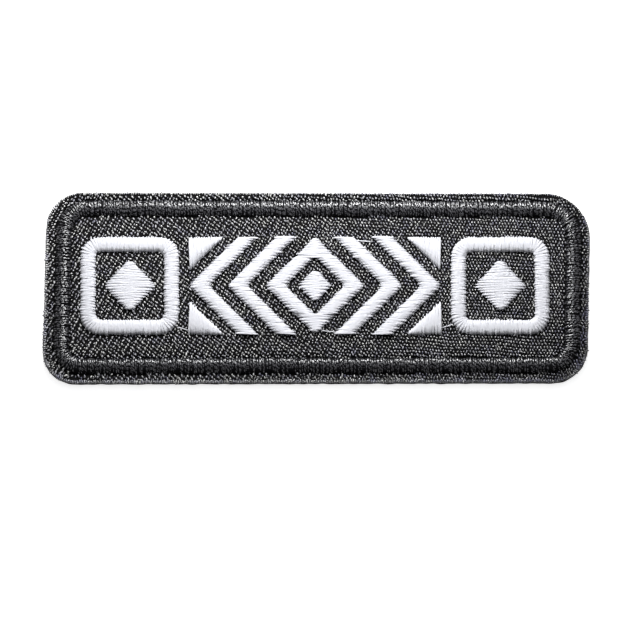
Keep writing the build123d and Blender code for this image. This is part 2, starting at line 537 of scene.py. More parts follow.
@dataclass(frozen=True)
class ThreadFinish(Finish):
    """Rayon-bright polyester embroidery thread of 40 weight.

    Two plies of fine trilobal filament are twisted together, dyed and lubricated. To the eye it is
    silky: each strand has one soft bright line along it, broken by the twist, and no two strands
    are quite as bright. Much of that line is painted into the colour as a highlight, and so is
    the shade between the plies.

    Attributes:
        deep: colour of the dullest strands, which is also the colour of their painted shade.
        bright: colour of the brightest strands, which is also the colour of their painted highlights.
        roughness: of the brightest strands.
        dulling: how much rougher the dullest strands are.
        specular: level of its highlight.
        sheen: weight of the soft light on its fine filaments.
        twist_depth: depth of the groove between plies.
        sheen_roughness: of the soft light.
        ior: of drawn polyester along the filament, where it is higher than across it.
        twist: length of thread for one turn of a ply. The real 0.3 mm is too fine to show,
            so it is drawn coarser.
        painted_ply_light: painted light and shade: how much brighter a ply is drawn than the groove beside
            it.
        glint: length of a painted glint on the filaments, drawn coarser than the real one so that it
            shows.
        painted_glint_depth: how sharply a painted glint stands out from the dull thread beside it.
        waver: how far the filaments rise and fall from one glint to the next.
        contrast: power that a strand's brightness is raised to before it is coloured.
        polish_gain: how fast the thread turns glossy as it gets brighter.
        hollow_shine: tint of the highlight where the thread is drawn darkest, which paints shade over its
            reflection.
        coated: whether the lubricant's clear skin shows, only on the strands drawn brightest.
        coat_roughness: of that skin.
    """

    deep: str
    bright: str
    roughness: float
    dulling: float
    specular: float
    sheen: float
    twist_depth: float
    sheen_roughness: float = 0.4
    ior: float = 1.72
    twist: float = 0.9
    painted_ply_light: float = 0.1
    glint: float = 0.3
    painted_glint_depth: float = 0.3
    waver: float = 0.01
    contrast: float = 3.0
    polish_gain: float = 3.0
    hollow_shine: str = "A8A8AE"
    coated: bool = False
    coat_roughness: float = 0.22

    def feeds(self, tree: bpy.types.NodeTree) -> dict[str, Any]:
        """Draws the plies as a sine of the turn and the way along, and the glints as noise along it: both
        are painted into the colour as light and shade.

        Args:
            tree: the material's node tree.

        Returns:
            For each of the shader's inputs, a value or a node that feeds it.
        """
        tone = node(tree, "ShaderNodeAttribute", {"attribute_name": "tone"})
        place = node(tree, "ShaderNodeUVMap", {"uv_map": "thread"})
        split = node(tree, "ShaderNodeSeparateXYZ", {}, {0: place})
        along = node(tree, "ShaderNodeMath", {"operation": "MULTIPLY"}, {0: split, 1: 2 * pi / self.twist})
        angle = node(
            tree, "ShaderNodeMath", {"operation": "MULTIPLY_ADD"},
            {0: split.outputs[1], 1: 2 * pi, 2: along},
        )
        plies = node(tree, "ShaderNodeMath", {"operation": "SINE"}, {0: angle})
        # Painted light and shade: each ply's crest is drawn brighter and its groove darker, over the
        # strand's tone
        crest = node(
            tree, "ShaderNodeMath", {"operation": "MULTIPLY_ADD"},
            {0: plies, 1: self.painted_ply_light, 2: tone.outputs["Fac"]},
        )
        spot = node(tree, "ShaderNodeMath", {"operation": "DIVIDE"}, {0: split, 1: self.glint})
        speckle = node(
            tree, "ShaderNodeTexNoise", {"noise_dimensions": "1D"},
            {"W": spot, "Scale": 1.0, "Detail": 0.0},
        )
        # Painted glints: noise along the strand is drawn into its brightness
        glint = node(
            tree, "ShaderNodeMath", {"operation": "MULTIPLY_ADD"},
            {0: speckle, 1: self.painted_glint_depth, 2: -self.painted_glint_depth / 2},
        )
        lit = node(tree, "ShaderNodeMath", {"operation": "ADD", "use_clamp": True}, {0: crest, 1: glint})
        sharp = node(tree, "ShaderNodeMath", {"operation": "POWER"}, {0: lit, 1: self.contrast})
        tint = node(
            tree, "ShaderNodeMix", {"data_type": "RGBA"},
            {0: sharp, 6: linear(self.deep), 7: linear(self.bright)},
        )
        groove = node(
            tree, "ShaderNodeBump", {},
            {"Strength": 1.0, "Distance": self.twist_depth * MM, "Height": plies},
        )
        filament = node(
            tree, "ShaderNodeBump", {},
            {"Strength": 1.0, "Distance": self.waver * MM, "Height": speckle, "Normal": groove},
        )
        polish = node(
            tree, "ShaderNodeMath", {"operation": "MULTIPLY", "use_clamp": True},
            {0: lit, 1: self.polish_gain},
        )
        gloss = node(
            tree, "ShaderNodeMix", {"data_type": "FLOAT"},
            {0: polish, 2: self.roughness + self.dulling, 3: self.roughness},
        )
        # The highlight is tinted dark where the thread is drawn dark: painted shade over its reflection
        shine = node(
            tree, "ShaderNodeMix", {"data_type": "RGBA"},
            {0: polish, 6: linear(self.hollow_shine), 7: linear("FFFFFF")},
        )
        skin = {"Coat Weight": polish, "Coat Roughness": self.coat_roughness, "Coat IOR": self.ior}
        return {
            "Base Color": tint.outputs[2], "Roughness": gloss, "Normal": filament,
            "Specular IOR Level": self.specular, "IOR": self.ior, "Specular Tint": shine.outputs[2],
            "Sheen Weight": self.sheen, "Sheen Roughness": self.sheen_roughness,
            **(skin if self.coated else {}),
        }


@dataclass(frozen=True)
class YarnFinish(Finish):
    """Bright polyester yarn of a heavy twill.

    Each crown is a short stretch of loosely twisted filament that comes up over the cloth. To the
    eye it is a small bright fleck on black, now bluish, now warm, with fine lines along it. The
    fleck's brightness is a painted highlight with painted glints, and its low flanks are painted shade.

    Attributes:
        deep: colour of the dullest crowns.
        bright: colour of the brightest crowns, near white on the black yarn: a painted highlight.
        cool: tint of the coolest crowns.
        flank: painted shade low down on a crown, where its neighbours keep the light off.
        roughness: of the filament.
        flank_roughness: low down on a crown.
        specular: level of its highlight.
        ior: of polyester yarn, mostly seen across its filaments.
        glint: length of a painted glint on the filaments, drawn coarser than the real 0.05 mm so that it
            shows.
        painted_glint_depth: how much brighter a painted glint is than the dark beside it.
        contrast: power that a crown's brightness is raised to before it is coloured.
        fineness: filaments in a metre across the yarn, drawn five times coarser than real ones.
        fine_depth: depth of the grooves between them.
    """

    name: str = "bright filament polyester twill yarn"
    deep: str = "1C1C1E"
    bright: str = "E8E8E6"
    cool: str = "6A6A92"
    flank: str = "020203"
    roughness: float = 0.42
    flank_roughness: float = 0.9
    specular: float = 0.5
    ior: float = 1.55
    glint: float = 0.15
    painted_glint_depth: float = 3.8
    contrast: float = 1.5
    fineness: float = 9000.0
    fine_depth: float = 0.02

    def feeds(self, tree: bpy.types.NodeTree) -> dict[str, Any]:
        """Colours each crown by its own tone and hue, darkens its flanks with painted shade and lays noise
        over it, as painted glints and fine grooves.

        Args:
            tree: the material's node tree.

        Returns:
            For each of the shader's inputs, a value or a node that feeds it.
        """
        tone, hue, crest = (
            node(tree, "ShaderNodeAttribute", {"attribute_name": mark}).outputs["Fac"]
            for mark in ("tone", "hue", "crest")
        )
        spot = node(tree, "ShaderNodeTexCoord").outputs["Object"]
        speckle = node(
            tree, "ShaderNodeTexNoise", {},
            {"Vector": spot, "Scale": 1 / (self.glint * MM), "Detail": 0.0},
        )
        # Painted glints: noise drawn into each crown's brightness
        glint = node(
            tree, "ShaderNodeMath", {"operation": "MULTIPLY_ADD"},
            {0: speckle, 1: self.painted_glint_depth, 2: -self.painted_glint_depth / 2},
        )
        lit = node(tree, "ShaderNodeMath", {"operation": "ADD", "use_clamp": True}, {0: tone, 1: glint})
        sharp = node(tree, "ShaderNodeMath", {"operation": "POWER"}, {0: lit, 1: self.contrast})
        tint = node(
            tree, "ShaderNodeMix", {"data_type": "RGBA"},
            {0: sharp, 6: linear(self.deep), 7: linear(self.bright)},
        )
        hued = node(
            tree, "ShaderNodeMix", {"data_type": "RGBA"},
            {0: hue, 6: tint.outputs[2], 7: linear(self.cool)},
        )
        # Painted shade: a crown's foot and lower oval take the flank colour
        shaded = node(
            tree, "ShaderNodeMix", {"data_type": "RGBA"},
            {0: crest, 6: linear(self.flank), 7: hued.outputs[2]},
        )
        gloss = node(
            tree, "ShaderNodeMix", {"data_type": "FLOAT"},
            {0: crest, 2: self.flank_roughness, 3: self.roughness},
        )
        filament = node(
            tree, "ShaderNodeTexNoise", {}, {"Vector": spot, "Scale": self.fineness, "Detail": 1.0}
        )
        groove = node(
            tree, "ShaderNodeBump", {},
            {"Strength": 0.5, "Distance": self.fine_depth * MM, "Height": filament},
        )
        return {
            "Base Color": shaded.outputs[2], "Roughness": gloss, "Normal": groove,
            "Specular IOR Level": self.specular, "IOR": self.ior,
        }


@dataclass(frozen=True)
class ClothFinish(Finish):
    """Heavy black polyester twill, its edge fused by a hot knife.

    Between its yarn crowns the cloth is a dull near black with a fine diagonal line, its own black
    darkened further as painted shade. Where the knife melted it, it is a smooth dark grey bead that
    catches a little light; its grey is painted light, drawn on the near side.

    Attributes:
        hollow: colour between the crowns: the cloth's own black, darkened further as painted shade.
        fused: colour of the melted edge, a grey of painted light.
        fused_dark: colour of its darker patches, also painted light.
        patches: patches of it in a metre.
        patch_spread: how much wider than the noise the patches' shades are spread.
        patch_shift: what is then added to them, so that they stay about the middle.
        line_pitch: spacing of the twill's diagonal lines.
        line_slant: how far they are turned, in degrees.
        line_depth: their depth.
        roughness: of the cloth.
        fused_roughness: of the melted edge.
        specular: level of its highlight, low because the weave keeps the light in.
        ior: of polyester.
    """

    name: str = "black polyester twill with a hot-cut edge"
    hollow: str = "020203"
    fused: str = "7C7C80"
    fused_dark: str = "3C3C3F"
    patches: float = 900.0
    patch_spread: float = 1.6
    patch_shift: float = -0.2
    line_pitch: float = 0.46
    line_slant: float = 29.0
    line_depth: float = 0.08
    roughness: float = 0.75
    fused_roughness: float = 0.42
    specular: float = 0.12
    ior: float = 1.55

    def feeds(self, tree: bpy.types.NodeTree) -> dict[str, Any]:
        """Draws the twill's lines as slanted waves, and the melted edge as patches of noise.

        Args:
            tree: the material's node tree.

        Returns:
            For each of the shader's inputs, a value or a node that feeds it.
        """
        melt = node(tree, "ShaderNodeAttribute", {"attribute_name": "fused"}).outputs["Fac"]
        spot = node(tree, "ShaderNodeTexCoord").outputs["Object"]
        patchy = node(
            tree, "ShaderNodeTexNoise", {}, {"Vector": spot, "Scale": self.patches, "Detail": 3.0}
        )
        streaks = node(
            tree, "ShaderNodeMath", {"operation": "MULTIPLY_ADD", "use_clamp": True},
            {0: patchy, 1: self.patch_spread, 2: self.patch_shift},
        )
        # Painted light: the melted bead's patchy grey
        melt_and_painted_light = node(
            tree, "ShaderNodeMix", {"data_type": "RGBA"},
            {0: streaks, 6: linear(self.fused_dark), 7: linear(self.fused)},
        )
        # Painted shade in the near-black hollows, and the bead's painted light where the edge is marked as
        # melted
        tint = node(
            tree, "ShaderNodeMix", {"data_type": "RGBA"},
            {0: melt, 6: linear(self.hollow), 7: melt_and_painted_light.outputs[2]},
        )
        turned = node(
            tree, "ShaderNodeMapping", {}, {"Vector": spot, "Rotation": (0, 0, radians(self.line_slant))}
        )
        lines = node(
            tree, "ShaderNodeTexWave", {"bands_direction": "X"},
            {"Vector": turned, "Scale": 1 / (self.line_pitch * MM * WAVE_BANDS), "Distortion": 0.6},
        )
        relief = node(
            tree, "ShaderNodeMix", {"data_type": "FLOAT"}, {0: melt, 2: lines.outputs["Fac"], 3: patchy}
        )
        groove = node(
            tree, "ShaderNodeBump", {},
            {"Strength": 0.7, "Distance": self.line_depth * MM, "Height": relief},
        )
        gloss = node(
            tree, "ShaderNodeMix", {"data_type": "FLOAT"},
            {0: melt, 2: self.roughness, 3: self.fused_roughness},
        )
        return {
            "Base Color": tint.outputs[2], "Roughness": gloss, "Normal": groove,
            "Specular IOR Level": self.specular, "IOR": self.ior,
        }


@dataclass(frozen=True)
class FilmFinish(Finish):
    """Heat-seal backing: a thermoplastic film rolled onto a stiff non-woven.

    To the eye it is a dull dark skin with the pebbled mark of the roller.

    Attributes:
        dark: colour of its hollows.
        pale: colour of its high spots.
        grain: size of the roller's pebbles.
        grain_depth: their height.
        haze: cloudy patches in a metre.
        roughness: of the film.
        ior: of the film.
    """

    name: str = "heat-seal thermoplastic backing film"
    dark: str = "0B0B0D"
    pale: str = "19191C"
    grain: float = 0.5
    grain_depth: float = 0.05
    haze: float = 300.0
    roughness: float = 0.5
    ior: float = 1.5

    def feeds(self, tree: bpy.types.NodeTree) -> dict[str, Any]:
        """Draws the pebbles as cells, and the haze as noise.

        Args:
            tree: the material's node tree.

        Returns:
            For each of the shader's inputs, a value or a node that feeds it.
        """
        spot = node(tree, "ShaderNodeTexCoord").outputs["Object"]
        pebbles = node(tree, "ShaderNodeTexVoronoi", {}, {"Vector": spot, "Scale": 1 / (self.grain * MM)})
        cloud = node(tree, "ShaderNodeTexNoise", {}, {"Vector": spot, "Scale": self.haze, "Detail": 4.0})
        tint = node(
            tree, "ShaderNodeMix", {"data_type": "RGBA"},
            {0: cloud, 6: linear(self.dark), 7: linear(self.pale)},
        )
        groove = node(
            tree, "ShaderNodeBump", {},
            {"Strength": 0.5, "Distance": self.grain_depth * MM, "Height": pebbles},
        )
        return {
            "Base Color": tint.outputs[2], "Roughness": self.roughness, "IOR": self.ior, "Normal": groove,
        }


@dataclass(frozen=True)
class TableFinish(Finish):
    """Lit white acrylic of a product table, which leaves almost no shadow.

    Attributes:
        white: its colour.
        glow: light that comes up through it.
        roughness: of its sanded face.
        ior: of acrylic.
    """

    name: str = "back-lit white acrylic"
    white: str = "F4F4F4"
    glow: float = 0.80
    roughness: float = 0.7
    ior: float = 1.49

    def feeds(self, tree: bpy.types.NodeTree) -> dict[str, Any]:
        """Gives the shader its even colour and glow.

        Args:
            tree: the material's node tree.

        Returns:
            For each of the shader's inputs, a value.
        """
        return {
            "Base Color": linear(self.white), "Roughness": self.roughness, "IOR": self.ior,
            "Emission Color": linear("FFFFFF"), "Emission Strength": self.glow,
        }


# Sheets

@dataclass(frozen=True)
class SheetGrid:
    """Grid of a flat sheet with rounded corners: loops round its edge and a net across its middle.

    Attributes:
        columns: steps along the long sides.
        rows: steps along the ends.
        field_offset: border's middle line to the edge of the net.
    """

    columns: int = 190
    rows: int = 68
    field_offset: float = -2.3

    @property
    def counts(self) -> tuple[int, int]:
        """Steps along a long side and along an end."""
        return self.columns, self.rows

    def net(self, loop: Array) -> Array:
        """Coons net inside a loop: the two pairs of opposite sides blended, less the corners' share.

        Args:
            loop: points round the net, (2 * (columns + rows), 2).

        Returns:
            Its points, (columns + 1, rows + 1, 2), with the loop as its border.
        """
        n, m = self.columns, self.rows
        closed = np.concatenate([loop, loop[:1]])
        bottom, right = closed[:n + 1], closed[n:n + m + 1]
        top, left = closed[n + m:2 * n + m + 1][::-1], closed[2 * n + m:][::-1]
        u = np.linspace(0, 1, n + 1)[:, None, None]
        v = np.linspace(0, 1, m + 1)[None, :, None]
        across = (1 - v) * bottom[:, None] + v * top[:, None]
        upward = (1 - u) * left[None] + u * right[None]
        corners = (
            (1 - u) * (1 - v) * bottom[0] + u * (1 - v) * bottom[-1]
            + (1 - u) * v * top[0] + u * v * top[-1]
        )
        return across + upward - corners

    def net_indices(self, loop_start: int, inner_start: int) -> Array:
        """Numbers of the net's vertices, whose border is a loop that is there already.

        Args:
            loop_start: number of the loop's first vertex.
            inner_start: number of the net's first inner vertex.

        Returns:
            The numbers, (columns + 1, rows + 1).
        """
        n, m = self.columns, self.rows
        total = 2 * (n + m)
        index = np.zeros((n + 1, m + 1), int)
        index[:, 0] = np.arange(n + 1)
        index[n, :] = n + np.arange(m + 1)
        index[::-1, m] = n + m + np.arange(n + 1)
        index[0, ::-1] = (2 * n + m + np.arange(m + 1)) % total
        index += loop_start
        index[1:-1, 1:-1] = inner_start + np.arange((n - 1) * (m - 1)).reshape(n - 1, m - 1)
        return index

    def closed(self, loops: Array, lower: Array, upper: Array, marks: dict[str, Array]) -> Surface:
        """Joins the underside's net, the loops from its border round the edge, and the top's net.

        Args:
            loops: (loops, points, 3), from the underside out, up and in again.
            lower: the underside's net, (columns + 1, rows + 1, 3).
            upper: the top's net.
            marks: named numbers, (loops, points), whose first and last loops' means the nets take.

        Returns:
            The closed sheet.
        """
        count, around, _ = loops.shape
        inner_count = (self.columns - 1) * (self.rows - 1)
        first, second = count * around, count * around + inner_count
        ring = np.arange(count - 1)[:, None] * around
        step = np.arange(around)[None, :]
        ahead = (step + 1) % around
        bands = np.stack([ring + step, ring + ahead, ring + around + ahead, ring + around + step], axis=-1)
        quads = [bands.reshape(-1, 4)]
        for index, flip in (
            (self.net_indices(0, first), True),
            (self.net_indices((count - 1) * around, second), False),
        ):
            cells = np.stack([index[:-1, :-1], index[1:, :-1], index[1:, 1:], index[:-1, 1:]], axis=-1)
            cells = cells.reshape(-1, 4)
            quads.append(cells[:, ::-1] if flip else cells)
        points = np.concatenate([
            loops.reshape(-1, 3), lower[1:-1, 1:-1].reshape(-1, 3), upper[1:-1, 1:-1].reshape(-1, 3),
        ])
        spread = {
            name: np.concatenate([
                values.ravel(), np.repeat([values[0].mean(), values[-1].mean()], inner_count),
            ])
            for name, values in marks.items()
        }
        return Surface(points, np.concatenate(quads), np.zeros((0, 3), int), spread)


@dataclass(frozen=True)
class TwillCloth:
    """The black twill: a sheet with a wavy fused edge and a bed under the border.

    Attributes:
        plan: the patch's plan.
        layers: the layers' heights.
        grid: the sheet's grid.
        wave_depth: how far the knife's edge wanders.
        wave_pitch: wavelength of that.
        grit_share: how much of it is three times as fine.
        wave_shear: how far the coarse and the fine waves are moved for each millimetre of height.
        wave_lift: how far the edge also rises and falls, as a share of that.
        bead_ends: how much of the melted bead's painted grey shows at the ends; it all shows on the near
            side.
        bead_slant: how much more of it shows at the right end than halfway, and less at the left.
        cockle: height of the cloth's own unevenness.
        cockle_pitch: wavelength of that.
        bed_half: half the width of the bed.
        bed_slope: width of the bed's sides.
    """

    plan: PatchPlan
    layers: Layers
    grid: SheetGrid = SheetGrid()
    wave_depth: float = 0.07
    wave_pitch: float = 1.9
    grit_share: float = 0.4
    wave_shear: tuple[float, float] = (9.0, 5.0)
    wave_lift: float = 0.35
    bead_ends: float = 0.15
    bead_slant: float = 0.2
    cockle: float = 0.035
    cockle_pitch: float = 5.0
    bed_half: float = 1.55
    bed_slope: float = 0.12

    def height(self, flat: Array) -> Array:
        """Height of the cloth's face: its own level with a slow random cockle."""
        return self.layers.cloth_face + self.cockle * ripple(flat, Seed.COCKLE, self.cockle_pitch)

    def edge(self) -> Array:
        """The fused edge: inset from the cut, height, share of the waves, and how fused, (n, 4)."""
        base, face = self.layers.cloth_base, self.layers.cloth_face
        return np.array([
            (0.60, base, 0.0, 0.0),
            (0.12, base, 0.5, 0.2),
            (0.02, base + 0.06, 1.0, 0.1),
            (0.00, base + 0.28, 1.0, 0.1),
            (-0.01, base + 0.52, 1.0, 0.2),
            (0.00, face - 0.28, 1.0, 0.6),
            (0.05, face - 0.12, 1.0, 1.0),
            (0.14, face - 0.03, 0.8, 1.0),
            (0.27, face + 0.01, 0.6, 0.3),
            (0.45, face, 0.3, 0.0),
            (0.75, face, 0.0, 0.0),
        ])

    def bed(self) -> Array:
        """The bed: offset from the border's middle line, and share of its depth, (n, 2)."""
        half, slope = self.bed_half, self.bed_slope
        outer = [(half + slope, 0.0), (half, 0.6), (half - slope, 1.0)]
        inner = [(-offset, share) for offset, share in reversed(outer)]
        return np.array([*outer, *inner, (self.grid.field_offset, 0.0)])

    def surface(self) -> Surface:
        """Stacks loops from the underside round the fused edge, over the bed and in to the field.

        The knife's edge wanders by a coarse and a fine ripple, which differ from layer to layer.
        """
        counts = self.grid.counts
        base, face = self.layers.cloth_base, self.layers.cloth_face
        cut, border = self.plan.cut_path(), self.plan.border_path()
        outline = cut.loop(counts)
        outward = cut.loop(counts, 1.0) - outline
        # Painted light: the melted bead is marked grey on the near side, less at the ends and more at the
        # right end
        near = np.clip(self.bead_ends - outward[:, 1] + self.bead_slant * outward[:, 0], 0, 1)
        loops, fused = [], []
        for inset, height, share, melt in self.edge():
            coarse_shift, fine_shift = (shear * height for shear in self.wave_shear)
            lump = ripple(outline + [0, coarse_shift], Seed.EDGE_LUMPS, self.wave_pitch)
            fine = ripple(outline + [0, fine_shift], Seed.EDGE_GRIT, self.wave_pitch / 3)
            wander = share * self.wave_depth * ((1 - self.grit_share) * lump + self.grit_share * fine)
            lift = self.wave_lift * wander * (height > base)
            loops.append(lifted(cut.loop(counts, wander - inset), height + lift))
            fused.append(melt * near)
        for offset, depth in self.bed():
            flat = border.loop(counts, offset)
            loops.append(lifted(flat, self.height(flat) - depth * (face - self.layers.bed_floor)))
            fused.append(0 * near)
        lower = lifted(self.grid.net(loops[0][:, :2]), base)
        over = self.grid.net(loops[-1][:, :2])
        upper = lifted(over, self.height(over))
        return self.grid.closed(np.array(loops), lower, upper, {"fused": np.array(fused)})

    def build(self, finish: bpy.types.Material, film: bpy.types.Object) -> None:
        """Makes the piece in place of the plain solid.

        Args:
            finish: the cloth's material.
            film: the backing that it lies on; not used.
        """
        piece = self.surface().as_piece("twill_cloth", finish, "black_twill")
        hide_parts("twill_ground")
        self.plan.length * MM
        self.plan.area() * MM * MM


@dataclass(frozen=True)
class BackingFilm:
    """The stiff film under the cloth, a lip wider all round, its back marked by the stitches.

    Attributes:
        plan: the patch's plan.
        layers: the layers' heights.
        grid: the sheet's grid.
        lip: how far it stands past the cloth.
        wander: how far its edge wanders.
        wander_pitch: wavelength of that.
        mark_depth: how deep the back is between the stitched parts.
        mark_relief: how uneven it is there, as a share of that.
        mark_pitch: wavelength of the unevenness.
    """

    plan: PatchPlan
    layers: Layers
    grid: SheetGrid = SheetGrid()
    lip: float = 0.12
    wander: float = 0.04
    wander_pitch: float = 2.4
    mark_depth: float = 0.06
    mark_relief: float = 0.25
    mark_pitch: float = 3.0

    def surface(self) -> Surface:
        """Stacks loops from the back round the cut edge to the face; the border stands out at the back."""
        counts = self.grid.counts
        back, face = self.mark_depth, self.layers.film_face
        cut, border = self.plan.cut_path(), self.plan.border_path()
        loose = self.wander * ripple(cut.loop(counts), Seed.FILM_EDGE, self.wander_pitch)
        # Offset from the border's middle line, and height
        field = self.grid.field_offset
        mark = ((field, back), (-1.6, back), (-1.2, 0.0), (1.2, 0.0), (1.6, back / 2))
        # Inset from the film's own edge, and height
        edge = ((0.3, 0.01), (0.03, 0), (0, 0.04), (0, face - 0.04), (0.04, face), (0.9, face))
        loops = [lifted(border.loop(counts, offset), height) for offset, height in mark]
        loops += [lifted(cut.loop(counts, self.lip + loose - inset), height) for inset, height in edge]
        loops.append(lifted(border.loop(counts, field), face))
        under = self.grid.net(loops[0][:, :2])
        uneven = self.mark_relief * ripple(under, Seed.FILM_BACK, self.mark_pitch)
        hollow = back * (1 - self.mark_relief + uneven)
        lower = lifted(under, np.clip(hollow, 0.0, 2 * back))
        upper = lifted(self.grid.net(loops[-1][:, :2]), face)
        return self.grid.closed(np.array(loops), lower, upper, {})

    def build(self, finish: bpy.types.Material) -> bpy.types.Object:
        """Makes the piece in place of the plain solid.

        Args:
            finish: the film's material.

        Returns:
            The film.
        """
        piece = self.surface().as_piece("backing_sheet", finish, "backing_film")
        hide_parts("backing")
        width, length = self.plan.width + 2 * self.lip, self.plan.length + 2 * self.lip
        (self.plan.area() + self.plan.cut_path().length * self.lip) * MM * MM
        return piece


# Thread

@dataclass(frozen=True)
class Thread:
    """One size of thread and how it lies.

    Attributes:
        half_width: half its width where it lies over the column.
        half_height: half its height there.
        hole_scatter: how far the holes are off their line.
        sway: how far a strand lies off its straight way.
        pitch: spacing of neighbouring strands, half that of the needle holes along one edge.
        sides: sides of its section.
        segments: segments along a strand.
        dive: how far it goes down into the cloth at a hole.
        layering: how unevenly the strands lie in height.
        stagger: how much lower every second strand lies.
        skew: how far to one side a strand's crown may stand, as a share.
        bias: how far towards its start every strand's crown stands.
        uphill: how far every strand's crown is pulled towards the patch's top.
        pull_limit: how far a crown may be shifted at most.
        buried_end: share of a strand, at each end, where its neighbours keep the light off, drawn in
            painted shade.
        painted_tip_shade: painted shade: how much duller it is drawn there.
        painted_under_shade: painted shade: how much duller a strand is drawn for each millimetre that it
            lies lower.
        tones: the two powers of the beta draw that spreads the strands from dull to bright.
        end_share: share of a strand that is left to the tip at each end.
        end_width: share of its width that it has there.
        widening: how fast it widens from there, for the whole strand's length.
        girth_spread: how unevenly thick the strands are.
        tip_depth: how far the tip goes further down.
    """

    half_width: float
    half_height: float
    hole_scatter: float
    sway: float
    pitch: float = 0.205
    sides: int = 5
    segments: int = 8
    dive: float = 0.10
    layering: float = 0.022
    stagger: float = 0.0
    skew: float = 0.1
    bias: float = 0.0
    uphill: float = 0.0
    pull_limit: float = 0.8
    buried_end: float = 0.02
    painted_tip_shade: float = 1.5
    painted_under_shade: float = 6.0
    tones: tuple[float, float] = (0.7, 0.9)
    end_share: float = 0.012
    end_width: float = 0.62
    widening: float = 2.0
    girth_spread: float = 0.07
    tip_depth: float = 0.06

    def strands(
        self, start: Array, end: Array, base: float, rise: Array, power: float, seed: int
    ) -> Surface:
        """Lays a strand from each start to each end.

        Along a strand, counted t from 0 to 1, the height is base + rise * sqrt(1 - |2t - 1| ** power),
        a crown that is flat on top and drops steeply at its edges. The section is an oval
        that narrows towards the holes. Each tube is closed by a tip down in the cloth.

        Args:
            start: holes where the strands come up, (n, 2).
            end: holes where they go down, (n, 2).
            base: height of the cloth.
            rise: height of each strand's crown over it, (n,).
            power: how flat the crown is.
            seed: of what is random.

        Returns:
            The strands, with marks "tone", which holds painted shade at their ends and on the lower ones,
            and their own place in uv.
        """
        rng = np.random.default_rng(seed)
        count = len(start)
        t = self.end_share + cosine_steps(self.segments + 1) * (1 - 2 * self.end_share)
        from_end = np.minimum(t, 1 - t)
        bow = np.sin(pi * t)
        run = end - start
        length = np.hypot(*run.T)
        ahead = run / length[:, None]
        aside = np.stack([-ahead[:, 1], ahead[:, 0]], axis=-1)
        pulled = rng.normal(self.bias - self.uphill * ahead[:, 1], self.skew, count)
        pulled = pulled.clip(-self.pull_limit, self.pull_limit)
        shifted = t + pulled[:, None] * t * (1 - t)
        crown = np.sqrt(1 - np.abs(2 * shifted - 1) ** power)
        sway = rng.normal(0, self.sway, count)[:, None] * bow
        lower = self.stagger * (np.arange(count) % 2 == 0)
        lift = (rng.normal(0, self.layering, count) - lower)[:, None] * bow
        flat = start[:, None] + run[:, None] * t[:, None] + aside[:, None] * sway[..., None]
        height = base + (rise - self.half_height)[:, None] * crown + lift - self.dive * (1 - crown) ** 2
        slope = np.gradient(height, axis=1) / (np.gradient(t) * length[:, None])
        lean = np.sqrt(1 + slope ** 2)
        over = lifted(-ahead[:, None] * (slope / lean)[..., None], 1 / lean)
        beside = lifted(aside, 0.0)[:, None, None]
        turn = -pi / 2 + 2 * pi * np.arange(self.sides) / self.sides
        narrow = np.clip(self.end_width + self.widening * from_end, 0, 1)[None, :, None, None]
        girth = rng.normal(1, self.girth_spread, count)[:, None, None, None] * narrow
        rings = (
            lifted(flat, height)[:, :, None]
            + beside * (np.cos(turn) * self.half_width)[:, None] * girth
            + over[:, :, None] * (np.sin(turn) * self.half_height)[:, None] * girth
        )
        tips = lifted(np.stack([start, end], axis=1), base - self.dive - self.tip_depth)
        points, quads, triangles = tubes(rings, tips)
        # Painted shade: lower strands and both ends of every strand are drawn duller
        tone = rng.beta(*self.tones, count) * (1 - self.painted_under_shade * lower)
        buried = self.painted_tip_shade * (1 - np.clip(from_end / self.buried_end, 0, 1))
        tone = np.repeat(tone[:, None] - buried, self.sides, axis=1)
        tone = np.concatenate([tone, tone[:, [0, -1]]], axis=1).ravel()
        # Each strand's pattern starts somewhere on the thread's first 9 mm
        along = (t * length[:, None] + rng.uniform(0, 9, count)[:, None])[..., None]
        place = np.stack(np.broadcast_arrays(along, np.arange(self.sides) / self.sides), axis=-1)
        place = place.reshape(count, -1, 2)
        place = np.concatenate([place, place[:, [0, -1]]], axis=1).reshape(-1, 2)
        return Surface(points, quads, triangles, {"tone": tone}, place)


